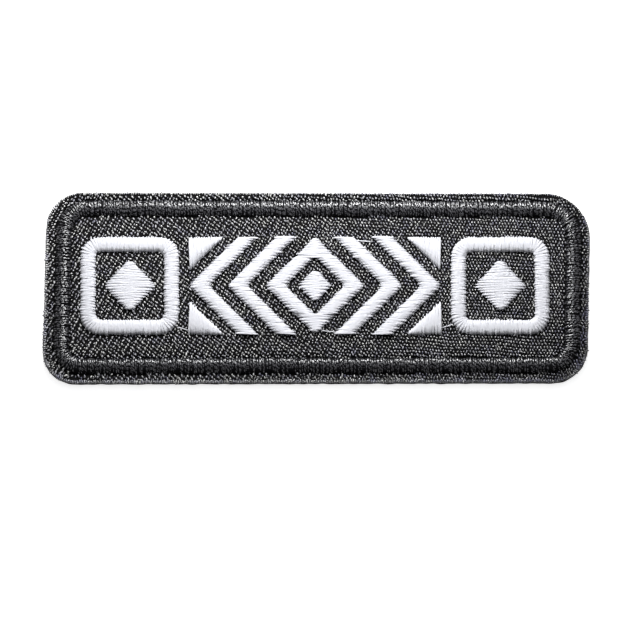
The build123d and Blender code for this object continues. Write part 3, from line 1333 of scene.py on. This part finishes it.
@dataclass(frozen=True)
class SatinColumn:
    """A column of satin: thread sewn to and fro between two edges, over padding.

    Attributes:
        near: points of one edge, half a stitch apart, (n, 2).
        far: points of the other edge, across from them.
        base: height of the cloth.
        rise: height of its crown.
        power: how flat the crown is.
        closed: whether the column meets itself.
        full_width: a stitch as long as this has the whole rise, and a shorter one lies lower.
        least_share: share of that length under which it lies no lower.
        core_drop: crown to the top of the padding, in half heights and staggers of the thread.
        core_inset: edge of the column to the padding, as a share of its width.
        core_least: least height of the padding.
        core_foot: how far it goes down into the cloth.
    """

    near: Array
    far: Array
    base: float
    rise: float
    power: float
    closed: bool = False
    full_width: float = 1.8
    least_share: float = 0.12
    core_drop: float = 1.6
    core_inset: float = 0.04
    core_least: float = 0.02
    core_foot: float = 0.03

    def crown_height(self, near: Array, far: Array) -> Array:
        """Height of the crown over each stitch, by the square root of its share of the full width."""
        length = np.hypot(*(far - near).T)
        return self.rise * np.sqrt(np.clip(length / self.full_width, self.least_share, 1))

    def threads(self, thread: Thread, seed: int) -> Surface:
        """Sews the zigzag: even strands run from a near hole to the next far hole, odd ones back.

        Args:
            thread: the thread.
            seed: of what is random.

        Returns:
            The strands.
        """
        rng = np.random.default_rng(seed)
        count = len(self.near)
        near = self.near + rng.normal(0, thread.hole_scatter, (count, 2))
        far = self.far + rng.normal(0, thread.hole_scatter, (count, 2))
        step = np.arange(count if self.closed else count - 1)
        after = (step + 1) % count
        even = (step % 2 == 0)[:, None]
        start = np.where(even, near[step], near[after])
        end = np.where(even, far[after], far[step])
        rise = self.crown_height(start, end)
        return thread.strands(start, end, self.base, rise, self.power, seed + 1)

    def padding(self, thread: Thread, points_across: int = 9, tone: float = 0.4) -> Surface:
        """The sewn-down padding: the crown's curve just under the strands, with a flat underside.

        Args:
            thread: the thread that covers it.
            points_across: points of its curve.
            tone: how bright it is.

        Returns:
            A closed core.
        """
        near, far = self.near[::2], self.far[::2]
        rise = self.crown_height(near, far) - self.core_drop * (thread.half_height + thread.stagger)
        t = cosine_steps(points_across)
        crown = np.sqrt(1 - np.abs(2 * t - 1) ** self.power)
        inset = self.core_inset + (1 - 2 * self.core_inset) * t
        flat = near[:, None] + (far - near)[:, None] * inset[:, None]
        upper = lifted(flat, self.base + np.maximum(rise, self.core_least)[:, None] * crown)
        under = lifted(flat[:, ::-1], self.base - self.core_foot)
        rings = np.concatenate([upper, under[:, 1:-1]], axis=1)[None]
        tips = None if self.closed else rings[:, [0, -1]].mean(axis=2)
        points, quads, triangles = tubes(rings, tips)
        marks = {"tone": np.full(len(points), tone)}
        return Surface(points, quads, triangles, marks, np.zeros((len(points), 2)))


@dataclass(frozen=True)
class SatinBorder:
    """The raised black border: one satin column all the way round.

    Attributes:
        plan: the patch's plan.
        layers: the layers' heights.
        thread: the border's thread.
        power: how flat its crown is.
        foot: floor of the bed to the foot of the column.
    """

    plan: PatchPlan
    layers: Layers
    thread: Thread = Thread(
        half_width=0.105, half_height=0.035, hole_scatter=0.10, sway=0.05, pitch=0.19, sides=6,
        segments=10, layering=0.03, stagger=0.08, skew=0.08, bias=-0.18, uphill=0.29, buried_end=0.11,
    )
    power: float = 1.9
    foot: float = 0.04

    def column(self) -> SatinColumn:
        """The column along the border's middle line, its edges at right angles to it."""
        path = self.plan.border_path()
        along = path.paced(2 * round(path.length / self.thread.pitch / 2))
        half = self.plan.border_column / 2
        base = self.layers.bed_floor + self.foot
        near, far = path.at(along, half), path.at(along, -half)
        return SatinColumn(near, far, base, self.layers.border_top - base, self.power, closed=True)

    def build(self, finish: bpy.types.Material) -> None:
        """Makes the piece in place of the plain solid.

        Args:
            finish: the black thread's material.
        """
        column = self.column()
        # Tone 0 gives the padding the dullest colour and tints its highlight out: painted shade between
        # the strands
        padding = column.padding(self.thread, points_across=11, tone=0.0)
        surface = Surface.joined([column.threads(self.thread, Seed.BORDER), padding])
        piece = surface.as_piece("border_threads", finish, "black_thread")
        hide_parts("satin_border")


class Run(Enum):
    """Which way a shape's thread is sewn."""

    ACROSS = "along X"
    UPRIGHT = "along Y"


@dataclass(frozen=True)
class WhiteBand:
    """The band of white shapes inside the border, in the same places as their solids.

    Attributes:
        plan: the patch's plan.
        layers: the layers' heights.
        thread: the white thread.
        margin_ends: border to band, at the two ends.
        margin_sides: border to band, along the long sides.
        drift: how far off the middle of the border it is sewn.
        column: width of a white column of stitches.
        square_radius: of the squares' outer corners.
        gap: cloth left showing between two shapes.
        diamond_gap: cloth left showing round a filled diamond.
        per_side: chevrons each side of the lozenge.
        point_radius: how far a point is blunted by the thread.
        power: how flat a column's crown is.
        bulge: how far the thread stands past its solid's outline as it turns down into the cloth.
        overlap: how much longer a stitch is that ends on a slanted side.
        least_opening: half the width that the lozenge's opening keeps at its points.
    """

    plan: PatchPlan
    layers: Layers
    thread: Thread = Thread(
        half_width=0.19, half_height=0.030, hole_scatter=0.06, sway=0.012, layering=0.003
    )
    margin_ends: float = 2.15
    margin_sides: float = 3.7
    drift: tuple[float, float] = (-0.45, 0.2)
    column: float = 2.35
    square_radius: float = 3.2
    gap: float = 1.8
    diamond_gap: float = 1.5
    per_side: int = 2
    point_radius: float = 0.3
    power: float = 3.2
    bulge: float = 0.12
    overlap: float = 0.06
    least_opening: float = 0.03

    @property
    def reach(self) -> float:
        """Cut edge to the inside of the border."""
        return self.plan.border_inset + self.plan.border_column / 2

    @property
    def centre(self) -> Array:
        """Middle of the band."""
        return np.add(self.plan.border_drift, self.drift)

    @property
    def length(self) -> float:
        """Length of the band."""
        return self.plan.length - 2 * (self.reach + self.margin_ends)

    @property
    def half(self) -> float:
        """Half the height of the band."""
        return self.plan.width / 2 - self.reach - self.margin_sides

    @property
    def leg(self) -> float:
        """Width of a slanted column, measured along X."""
        return self.column * DIAGONAL

    @property
    def square_centre(self) -> float:
        """Middle of the band to the middle of an end square."""
        return self.length / 2 - self.half

    @property
    def pitch(self) -> float:
        """Spacing of the chevrons."""
        return (self.square_centre - self.half - self.gap - self.half) / self.per_side

    def satin(self, near: Array, far: Array, closed: bool = False) -> SatinColumn:
        """A white column on the cloth, as high as its solid, between two edges."""
        base = self.layers.cloth_face
        return SatinColumn(near, far, base, self.layers.shape_top - base, self.power, closed)

    def edges(self, stations: Array, low: Array, high: Array, run: Run, side: int) -> SatinColumn:
        """A column whose stitches all run one way.

        Args:
            stations: places across the run, half a stitch apart.
            low: where the stitch at each station starts.
            high: where it ends.
            run: which way the stitches run.
            side: 1 for the right half of the band, -1 for the left.

        Returns:
            The column.
        """
        past = self.bulge * np.sign(high - low)
        low, high = low - past, high + past
        near, far = (
            np.stack([end, stations] if run is Run.ACROSS else [stations, end], axis=-1)
            for end in (low, high)
        )
        turn = np.array([side, 1])
        return self.satin(self.centre + near * turn, self.centre + far * turn)

    def stations(self, start: float, end: float) -> Array:
        """Places half a stitch apart from start to end, an odd number of them."""
        count = 2 * max(1, round((end - start) / self.thread.pitch / 2)) + 1
        return np.linspace(start, end, count)

    def blunted(self, distance: Array) -> Array:
        """The size of each distance, rounded off near nought: sqrt(d * d + r * r) - r / 2."""
        return np.sqrt(distance ** 2 + self.point_radius ** 2) - self.point_radius / 2

    def chevron(self, place: int, side: int) -> list[SatinColumn]:
        """A chevron: every stitch is one slanted column wide, its ends on two parallel bent lines."""
        y = self.stations(-self.half, self.half)
        outer = place * self.pitch + self.half - self.blunted(y)
        return [self.edges(y, outer - self.leg, outer, Run.ACROSS, side)]

    def lozenge(self) -> list[SatinColumn]:
        """The open lozenge: two legs beside its opening, and a cap above and below it."""
        opening = self.half - self.leg
        y = self.stations(-opening, opening)
        outer = self.half - self.blunted(y)
        inner = np.maximum(opening - self.blunted(y), self.least_opening)
        legs = [self.edges(y, inner, outer, Run.ACROSS, side) for side in (1, -1)]
        caps = []
        for end in (1, -1):
            rows = self.stations(opening, self.half - self.point_radius)
            reach = self.half - rows + self.overlap
            caps.append(self.edges(end * rows, -reach, reach, Run.ACROSS, 1))
        return legs + caps

    def diamond(self, middle: float, reach: float, side: int) -> list[SatinColumn]:
        """A filled diamond: each stitch runs right across it."""
        y = self.stations(-reach + self.point_radius, reach - self.point_radius)
        half = reach - self.blunted(y) + self.overlap
        return [self.edges(y, middle - half, middle + half, Run.ACROSS, side)]

    def wedge(self, side: int, end: int) -> list[SatinColumn]:
        """A filled corner: each stitch runs from its flat side to its slanted side.

        Args:
            side: 1 for the right half of the band, -1 for the left.
            end: 1 for the top of the band, -1 for the bottom.

        Returns:
            Its one column.
        """
        inner = self.per_side * self.pitch + self.gap * DIAGONAL
        outer = self.square_centre - self.half - self.gap
        x = self.stations(inner + self.point_radius, outer)
        flat, slanted = np.full_like(x, self.half), self.half - (x - inner)
        return [self.edges(x, end * flat, end * slanted, Run.UPRIGHT, side)]

    def square_path(self, side: int) -> RoundedPath:
        """Middle line of an end square's column.

        Args:
            side: 1 for the right end of the band, -1 for the left.

        Returns:
            A square with rounded corners.
        """
        half = self.half - self.column / 2
        corners = np.array([(-1, -1), (1, -1), (1, 1), (-1, 1)]) * half
        middle = self.centre + np.array([side * self.square_centre, 0])
        return RoundedPath(corners + middle, np.full(4, self.square_radius - self.column / 2))

    def square(self, side: int) -> list[SatinColumn]:
        """An open square: one column that turns its corners as a fan.

        Args:
            side: 1 for the right end of the band, -1 for the left.

        Returns:
            Its one column.
        """
        path = self.square_path(side)
        along = path.paced(2 * round(path.length / self.thread.pitch / 2))
        half = self.column / 2 + self.bulge
        return [self.satin(path.at(along, half), path.at(along, -half), closed=True)]

    def shapes(self) -> dict[str, list[SatinColumn]]:
        """Every shape's columns, by the name of its solid."""
        small = self.half - self.leg - self.diamond_gap * DIAGONAL
        opening = self.half - self.column
        found = {"lozenge": self.lozenge(), "lozenge_diamond": self.diamond(0, small, 1)}
        for name, side in (("left", -1), ("right", 1)):
            for place in range(1, self.per_side + 1):
                found[f"chevron_{name}_{place}"] = self.chevron(place, side)
            found[f"wedge_{name}_top"] = self.wedge(side, 1)
            found[f"wedge_{name}_bottom"] = self.wedge(side, -1)
            found[f"square_{name}"] = self.square(side)
            found[f"square_diamond_{name}"] = self.diamond(
                self.square_centre, opening - self.diamond_gap, side
            )
        return found

    def covered(self, points: Array) -> Array:
        """Tells which places on the cloth a white shape covers.

        Args:
            points: places on the cloth, (n, 2).

        Returns:
            True for each place that is covered.
        """
        hidden = np.zeros(len(points), bool)
        for columns in self.shapes().values():
            for column in columns:
                if column.closed:
                    hidden |= inside(points, column.near) & ~inside(points, column.far)
                else:
                    hidden |= inside(points, np.concatenate([column.near, column.far[::-1]]))
        return hidden

    def build(self, finish: bpy.types.Material) -> None:
        """Makes each shape in place of its plain solid.

        Args:
            finish: the white thread's material.
        """
        for number, (name, columns) in enumerate(self.shapes().items()):
            seed = Seed.SHAPES + 10 * number
            parts = [column.threads(self.thread, seed + i) for i, column in enumerate(columns)]
            parts += [column.padding(self.thread) for column in columns]
            piece = Surface.joined(parts).as_piece(f"{name}_threads", finish, "white_thread")
            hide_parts(name)


@dataclass(frozen=True)
class JumpStitches:
    """Thin white threads that the machine left as it jumped between two shapes.

    Attributes:
        band: the band of shapes.
        spans: start and end of each, from the middle of the band.
        thread: their thread.
        slack: how high each stands off the cloth.
        power: how flat its bow is.
    """

    band: WhiteBand
    spans: tuple[tuple[float, float, float, float], ...] = (
        (-22.9, -6.9, -20.6, -7.6),
        (-13.3, -7.5, -12.4, -7.9),
        (0.6, -7.3, 3.4, -7.7),
        (20.4, -7.2, 22.9, -6.4),
        (6.5, 7.6, 9.6, 7.4),
    )
    thread: Thread = Thread(half_width=0.10, half_height=0.08, hole_scatter=0, sway=0.08, segments=10)
    slack: float = 0.30
    power: float = 2.2

    def build(self, finish: bpy.types.Material) -> None:
        """Lays the threads as low bows from shape to shape.

        Args:
            finish: the white thread's material.
        """
        span = np.array(self.spans)
        surface = self.thread.strands(
            self.band.centre + span[:, :2], self.band.centre + span[:, 2:],
            self.band.layers.cloth_face, np.full(len(span), self.slack), self.power, Seed.JUMPS,
        )
        surface.as_piece("jump_stitches", finish, "white_thread")


@dataclass(frozen=True)
class CrownSet:
    """What is worked out for each crown of the yarn.

    Attributes:
        spots: its place, (n, 2).
        heading: of its long way, (n,).
        size: its size as a share.
        stretch: how much longer it is than that, as a share.
        height: over the cloth.
        proud: 1 in a row that stands higher, and 0 in a lower one.
        left: 1 at the left end of the patch, dropping to 0 at the right end.
        sunk: how far a crown of a lower row is sunken, from 0 to 1.
        outer: whether it stands outside the border.
        dragged: how far the knife dragged it, from 0 to 1.
        rim: whether it is a yarn end along the cut edge.
    """

    spots: Array
    heading: Array
    size: Array
    stretch: Array
    height: Array
    proud: Array
    left: Array
    sunk: Array
    outer: Array
    dragged: Array
    rim: Array


def built_up(spots: Array, zone: tuple[float, float]) -> Array:
    """Share from 0 to 1 along X: 0 before the zone's start, and 1 past its signed length."""
    return np.clip((spots[:, 0] - zone[0]) / zone[1], 0, 1)


@dataclass(frozen=True)
class YarnShades:
    """How bright and how cool the crowns of the yarn are, from 0 to 1, with light and shade painted in.

    Attributes:
        tone: brightness of a crown in a lower row, before all that follows.
        proud_lift: how much brighter every second row is.
        painted_left_light: painted light: how much brighter it is all drawn at the left end.
        sunk_drop: how much duller the sunken rows are there.
        painted_light_falloff: painted light: how much duller the yarn is drawn for each millimetre to the
            right, and up.
        painted_outer_light: painted light: how much brighter it is drawn outside the border, where the
            cloth is pulled flat.
        painted_right_end_shade: painted shade: how much duller it is drawn outside the border at the right
            end.
        end_zone: where along the patch that starts, and over what length it builds up.
        rim_drop: how much duller the melted yarn ends are.
        drawn_drop: how much duller the yarn is that the knife dragged.
        tone_spread: how unevenly bright the crowns are.
        hue: how cool the crowns are, and as much again how far that wanders over the cloth.
        hue_pitch: wavelength of that.
        hue_spread: how unevenly cool they are.
        crest: how much of a crown's own colour its upper oval keeps against the painted shade of its
            flank.
    """

    tone: float = 0.470
    proud_lift: float = 0.20
    painted_left_light: float = 0.12
    sunk_drop: float = 0.18
    painted_light_falloff: tuple[float, float] = (0.0022, 0.0016)
    painted_outer_light: float = 0.09
    painted_right_end_shade: float = 0.20
    end_zone: tuple[float, float] = (38.0, 4.0)
    rim_drop: float = 0.18
    drawn_drop: float = 0.42
    tone_spread: float = 0.03
    hue: float = 0.14
    hue_pitch: float = 2.6
    hue_spread: float = 0.06
    crest: float = 0.75

    def marks(self, crowns: CrownSet, sides: int, rng: np.random.Generator) -> dict[str, Array]:
        """Gives each vertex its crown's brightness, with painted light and shade, its coolness, and how
        much painted light reaches it.

        Args:
            crowns: the crowns.
            sides: sides of a crown's oval.
            rng: draws what is random.

        Returns:
            The named numbers of all vertices.
        """
        spots = crowns.spots
        count = len(spots)
        end = crowns.outer * built_up(spots, self.end_zone)
        # Painted light and shade: brighter at the left end and outside the border, duller to the right, up
        # and at the right end's outer strip
        tone = (
            self.tone + self.proud_lift * crowns.proud + self.painted_left_light * crowns.left
            - self.sunk_drop * crowns.sunk - spots @ self.painted_light_falloff + self.painted_outer_light * crowns.outer
            - self.painted_right_end_shade * end - self.rim_drop * crowns.rim - self.drawn_drop * crowns.dragged
            + rng.normal(0, self.tone_spread, count)
        )
        hue = self.hue * (1 + ripple(spots, Seed.HUES, self.hue_pitch))
        hue = hue + rng.normal(0, self.hue_spread, count)
        # A dome's vertices are its lower and upper oval, its foot and its top; the foot and the lower oval
        # are painted in shade
        crest = np.concatenate([np.zeros(sides), np.full(sides, self.crest), [0, 1]])
        return {
            "tone": np.repeat(tone.clip(0, 1), len(crest)),
            "hue": np.repeat(hue.clip(0, 1), len(crest)),
            "crest": np.tile(crest, count),
        }


@dataclass(frozen=True)
class YarnCrowns:
    """The crowns of the twill's yarns, in slanted rows over the cloth.

    A crown stands at each point of a lattice with these two steps. Every second slanted row
    lies higher and brighter, as one ply of the yarn does.

    Attributes:
        cloth: the cloth they stand on.
        band: the white shapes, which cover some.
        step_across: step along a row of the weave.
        step_up: step to the next row.
        spare: how many more steps than the patch needs there are along a row, and rows.
        sunk_shift: how far the lower crown of each pair is pulled aside at the left end.
        sunk_shrink: how much smaller it is there.
        left_reach: length over which the left end's look fades into the right end's.
        left_growth: how much larger the crowns are at the left end.
        bend: how far the lattice wanders.
        bend_pitch: wavelength of that.
        length: of a crown.
        width: of a crown.
        height: of a crown over the cloth.
        low_row: height of a lower row, as a share of that.
        swell: how much higher every second row is than the others, as a share.
        size_spread: how unevenly large the crowns are.
        stretch_spread: how unevenly long they are.
        stretch_limits: the least and the most of that.
        height_spread: how unevenly high they are.
        stray: how far a crown is off its place, and how much further a sunken one is.
        slant: which way a crown's long way points, in degrees.
        slant_pulled: how far it is turned back at the left end, where the cloth was pulled.
        pulled_zone: where along the patch that starts, and over what length it builds up, to the left.
        slant_spread: how unevenly the crowns point, in degrees.
        margin: cut edge to the outermost crowns of the lattice.
        tuck: how far the crowns run in under the border.
        rim_inset: cut edge to the row of yarn ends that follows it.
        rim_pitch: spacing of those.
        sides: sides of a crown's oval.
        levels: size of each oval, and how high it stands as a share of the crown.
        foot: how far a crown goes down into the cloth, as a share of its height.
        drawn: how much longer the crowns are outside the border's lower half, where the knife dragged
            the cloth.
        drawn_reach: height of the patch over which that fades out.
        shades: how bright and how cool they are.
    """

    cloth: TwillCloth
    band: WhiteBand
    step_across: tuple[float, float] = (0.515, -0.029)
    step_up: tuple[float, float] = (0.2732, 0.5017)
    spare: tuple[int, int] = (8, 4)
    sunk_shift: tuple[float, float] = (-0.10, -0.28)
    sunk_shrink: float = 0.32
    left_reach: float = 60.0
    left_growth: float = 0.10
    bend: float = 0.10
    bend_pitch: float = 9.0
    length: float = 0.50
    width: float = 0.29
    height: float = 0.22
    low_row: float = 0.75
    swell: float = 0.45
    size_spread: float = 0.08
    stretch_spread: float = 0.18
    stretch_limits: tuple[float, float] = (0.6, 1.4)
    height_spread: float = 0.10
    stray: tuple[float, float] = (0.035, 0.06)
    slant: float = 106.0
    slant_pulled: float = 50.0
    pulled_zone: tuple[float, float] = (-32.0, -10.0)
    slant_spread: float = 22.0
    margin: float = 0.34
    tuck: float = 0.04
    rim_inset: float = 0.15
    rim_pitch: float = 0.38
    sides: int = 8
    levels: tuple[tuple[float, float], ...] = ((1.0, -0.12), (0.72, 0.66))
    foot: float = 0.4
    drawn: float = 0.35
    drawn_reach: float = 8.0
    shades: YarnShades = YarnShades()

    def lattice(self) -> tuple[Array, Array]:
        """Places of the crowns that show, with the number of each one's slanted row.

        Returns:
            The places, (n, 2), and the row numbers, (n,).
        """
        plan, counts = self.cloth.plan, self.cloth.grid.counts
        rows = int(plan.width / self.step_up[1]) + self.spare[1]
        across = int((plan.length + plan.width) / self.step_across[0]) + self.spare[0]
        i, j = np.meshgrid(np.arange(across) - across // 2, np.arange(rows) - rows // 2, indexing="ij")
        i, j = i.ravel(), j.ravel()
        spots = np.multiply.outer(i, self.step_across) + np.multiply.outer(j, self.step_up)
        bends = [ripple(spots, seed, self.bend_pitch) for seed in (Seed.LATTICE_X, Seed.LATTICE_Y)]
        spots = spots + self.bend * np.stack(bends, axis=-1)
        half = plan.border_column / 2 - self.tuck
        outer, inner = (plan.border_path().loop(counts, offset) for offset in (half, -half))
        shown = inside(spots, plan.cut_path().loop(counts, -self.margin))
        shown &= ~(inside(spots, outer) & ~inside(spots, inner)) & ~self.band.covered(spots)
        return spots[shown], i[shown]

    def rim(self) -> tuple[Array, Array]:
        """Places of the yarn ends along the cut edge, which the knife has turned square to it.

        Returns:
            The places, (n, 2), and the heading of each one's long way, (n,).
        """
        path = self.cloth.plan.cut_path()
        along = path.paced(round(path.length / self.rim_pitch))
        spots = path.at(along, -self.rim_inset)
        outward = path.at(along) - spots
        return spots, np.arctan2(outward[:, 1], outward[:, 0])

    def crowns(self, rng: np.random.Generator) -> CrownSet:
        """Works out each crown: its lattice point, pulled aside and turned as the cloth is there.

        Args:
            rng: draws what is random.

        Returns:
            The crowns, the yarn ends along the cut edge last.
        """
        inner, row = self.lattice()
        ends, outward = self.rim()
        spots = np.concatenate([inner, ends])
        count = len(spots)
        proud = np.concatenate([row % 2, np.ones(len(ends))])
        left = np.clip(0.5 - spots[:, 0] / self.left_reach, 0, 1)
        sunk = (1 - proud) * left
        spots = spots + sunk[:, None] * np.array(self.sunk_shift)
        pulled = built_up(inner, self.pulled_zone)
        heading = np.concatenate([np.radians(self.slant - self.slant_pulled * pulled), outward])
        heading = heading + np.radians(rng.normal(0, self.slant_spread, count))
        size = rng.normal(1, self.size_spread, count)
        size = size * (1 + self.left_growth * left - self.sunk_shrink * sunk)
        outer = ~inside(spots, self.cloth.plan.border_path().loop(self.cloth.grid.counts))
        dragged = outer * np.clip(0.5 - spots[:, 1] / self.drawn_reach, 0, 1)
        stretch = rng.lognormal(0, self.stretch_spread, count).clip(*self.stretch_limits)
        stretch = stretch * (1 + self.drawn * dragged)
        height = self.height * (self.low_row + self.swell * proud)
        height = height * rng.normal(1, self.height_spread, count)
        astray = self.stray[0] + self.stray[1] * sunk
        spots = spots + rng.normal(0, 1, (count, 2)) * astray[:, None]
        rim = np.arange(count) >= len(inner)
        return CrownSet(spots, heading, size, stretch, height, proud, left, sunk, outer, dragged, rim)

    def domes(self, crowns: CrownSet) -> tuple[Array, Array, Array]:
        """Each crown is an oval dome: two ovals, the upper one smaller, closed by a top and a foot.

        Args:
            crowns: the crowns.

        Returns:
            Vertices, quads and triangles.
        """
        spots, height = crowns.spots, crowns.height
        ground = self.cloth.height(spots)
        long_way = np.stack([np.cos(crowns.heading), np.sin(crowns.heading)], axis=-1)
        short_way = np.stack([-long_way[:, 1], long_way[:, 0]], axis=-1)
        turn = 2 * pi * np.arange(self.sides) / self.sides
        half_length = (self.length / 2 * crowns.size * crowns.stretch)[:, None] * np.cos(turn)
        half_width = (self.width / 2 * crowns.size)[:, None] * np.sin(turn)
        oval = long_way[:, None] * half_length[..., None] + short_way[:, None] * half_width[..., None]
        rings = [
            lifted(spots[:, None] + share * oval, (ground + level * height)[:, None])
            for share, level in self.levels
        ]
        tips = [lifted(spots, ground - self.foot * height), lifted(spots, ground + height)]
        return tubes(np.stack(rings, axis=1), np.stack(tips, axis=1))

    def build(self, finish: bpy.types.Material) -> None:
        """Makes the crowns as one piece.

        Args:
            finish: the yarn's material.
        """
        rng = np.random.default_rng(Seed.CROWNS)
        crowns = self.crowns(rng)
        surface = Surface(*self.domes(crowns), self.shades.marks(crowns, self.sides, rng))
        surface.as_piece("twill_crowns", finish, "black_twill")


# Studio

@dataclass(frozen=True)
class Studio:
    """Floor, soft lights and camera.

    Attributes:
        view_width: width of the picture at the patch.
        aim: the point at the middle of the picture.
        tilt: how far the camera leans back from straight above, in degrees.
        distance: camera to patch.
        sensor: width of the camera's sensor.
        floor_half: half the width of the floor.
        floor_drop: back of the patch to the floor.
        sky: colour of the light from all round.
        sky_strength: of that light.
    """

    view_width: float = 640 / 6.04
    aim: Spot = (0.54, -5.43, 1.45)
    tilt: float = 8.1
    distance: float = 1350.0
    sensor: float = 36.0
    floor_half: float = 3000.0
    floor_drop: float = 0.03
    sky: str = "F6F8FC"
    sky_strength: float = 0.04

    def floor(self, finish: bpy.types.Material) -> None:
        """A flat square just under the patch.

        Args:
            finish: the table's material.
        """
        mesh = bpy.data.meshes.new("floor")
        corners = np.array([(-1, -1, 0), (1, -1, 0), (1, 1, 0), (-1, 1, 0)]) * self.floor_half * MM
        mesh.from_pydata(corners, [], [(0, 1, 2, 3)])
        mesh.materials.append(finish)
        floor = bpy.data.objects.new("floor", mesh)
        floor.location.z = -self.floor_drop * MM
        bpy.context.scene.collection.objects.link(floor)

    def lamp(self, name: str, place: Spot, size: tuple[float, float], watts: float) -> None:
        """An oval area lamp that faces the middle of the patch.

        Args:
            name: its name.
            place: where it stands.
            size: its width and height.
            watts: its power.
        """
        data = bpy.data.lights.new(name, "AREA")
        data.shape = "ELLIPSE"
        data.size = size[0] * MM
        data.size_y = size[1] * MM
        data.energy = watts
        lamp = bpy.data.objects.new(name, data)
        lamp.location = np.array(place) * MM
        lamp.rotation_euler = Vector(place).to_track_quat("Z", "Y").to_euler()
        bpy.context.scene.collection.objects.link(lamp)

    def sky_light(self) -> None:
        """Dim light from all round."""
        world = bpy.data.worlds.new("studio")
        world.use_nodes = True
        inputs = world.node_tree.nodes["Background"].inputs
        inputs["Color"].default_value = linear(self.sky)
        inputs["Strength"].default_value = self.sky_strength
        bpy.context.scene.world = world

    def camera(self) -> None:
        """A long lens that leans back from straight above the aim, by the tilt."""
        scene = bpy.context.scene
        data = bpy.data.cameras.new("camera")
        data.sensor_width = self.sensor
        data.lens = self.sensor * self.distance / self.view_width
        data.clip_start = 0.01
        data.clip_end = 50.0
        camera = bpy.data.objects.new("camera", data)
        lean = radians(self.tilt)
        away = np.array([0.0, -sin(lean), cos(lean)]) * self.distance
        camera.location = (np.array(self.aim) + away) * MM
        camera.rotation_euler = (lean, 0, 0)
        scene.collection.objects.link(camera)
        scene.camera = camera
        scene.view_settings.view_transform = "Standard"

    def build(self) -> None:
        """Sets the stage."""
        self.floor(TableFinish().make())
        self.lamp("key", place=(-4, 79, 62), size=(110, 50), watts=0.242)
        self.lamp("fill", place=(0, 220, 560), size=(600, 600), watts=1.12)
        self.sky_light()
        self.camera()


def main() -> None:
    """Builds the studio and the patch from the back up."""
    logging.basicConfig(level=logging.INFO, format="%(name)s: %(message)s")
    Studio().build()
    plan, layers = PatchPlan(), Layers.from_frame()
    film = BackingFilm(plan, layers).build(FilmFinish().make())
    cloth = TwillCloth(plan, layers)
    cloth.build(ClothFinish().make(), film)
    white = ThreadFinish(
        "white polyester embroidery thread", deep="CACBD1", bright="CDCDD3", roughness=0.45,
        dulling=0.05, specular=0.18, sheen=0.25, twist_depth=0.006,
    ).make()
    black = ThreadFinish(
        "black polyester embroidery thread", deep="121214", bright="5C5C61", roughness=0.31,
        dulling=0.1, specular=1.0, sheen=0.0, twist_depth=0.004, twist=0.7, painted_ply_light=1.4, glint=0.14,
        painted_glint_depth=7.0, waver=0.005, hollow_shine="000000", coated=True,
    ).make()
    band = WhiteBand(plan, layers)
    YarnCrowns(cloth, band).build(YarnFinish().make())
    SatinBorder(plan, layers).build(black)
    band.build(white)
    JumpStitches(band).build(white)


if __name__ == "__main__":
    main()
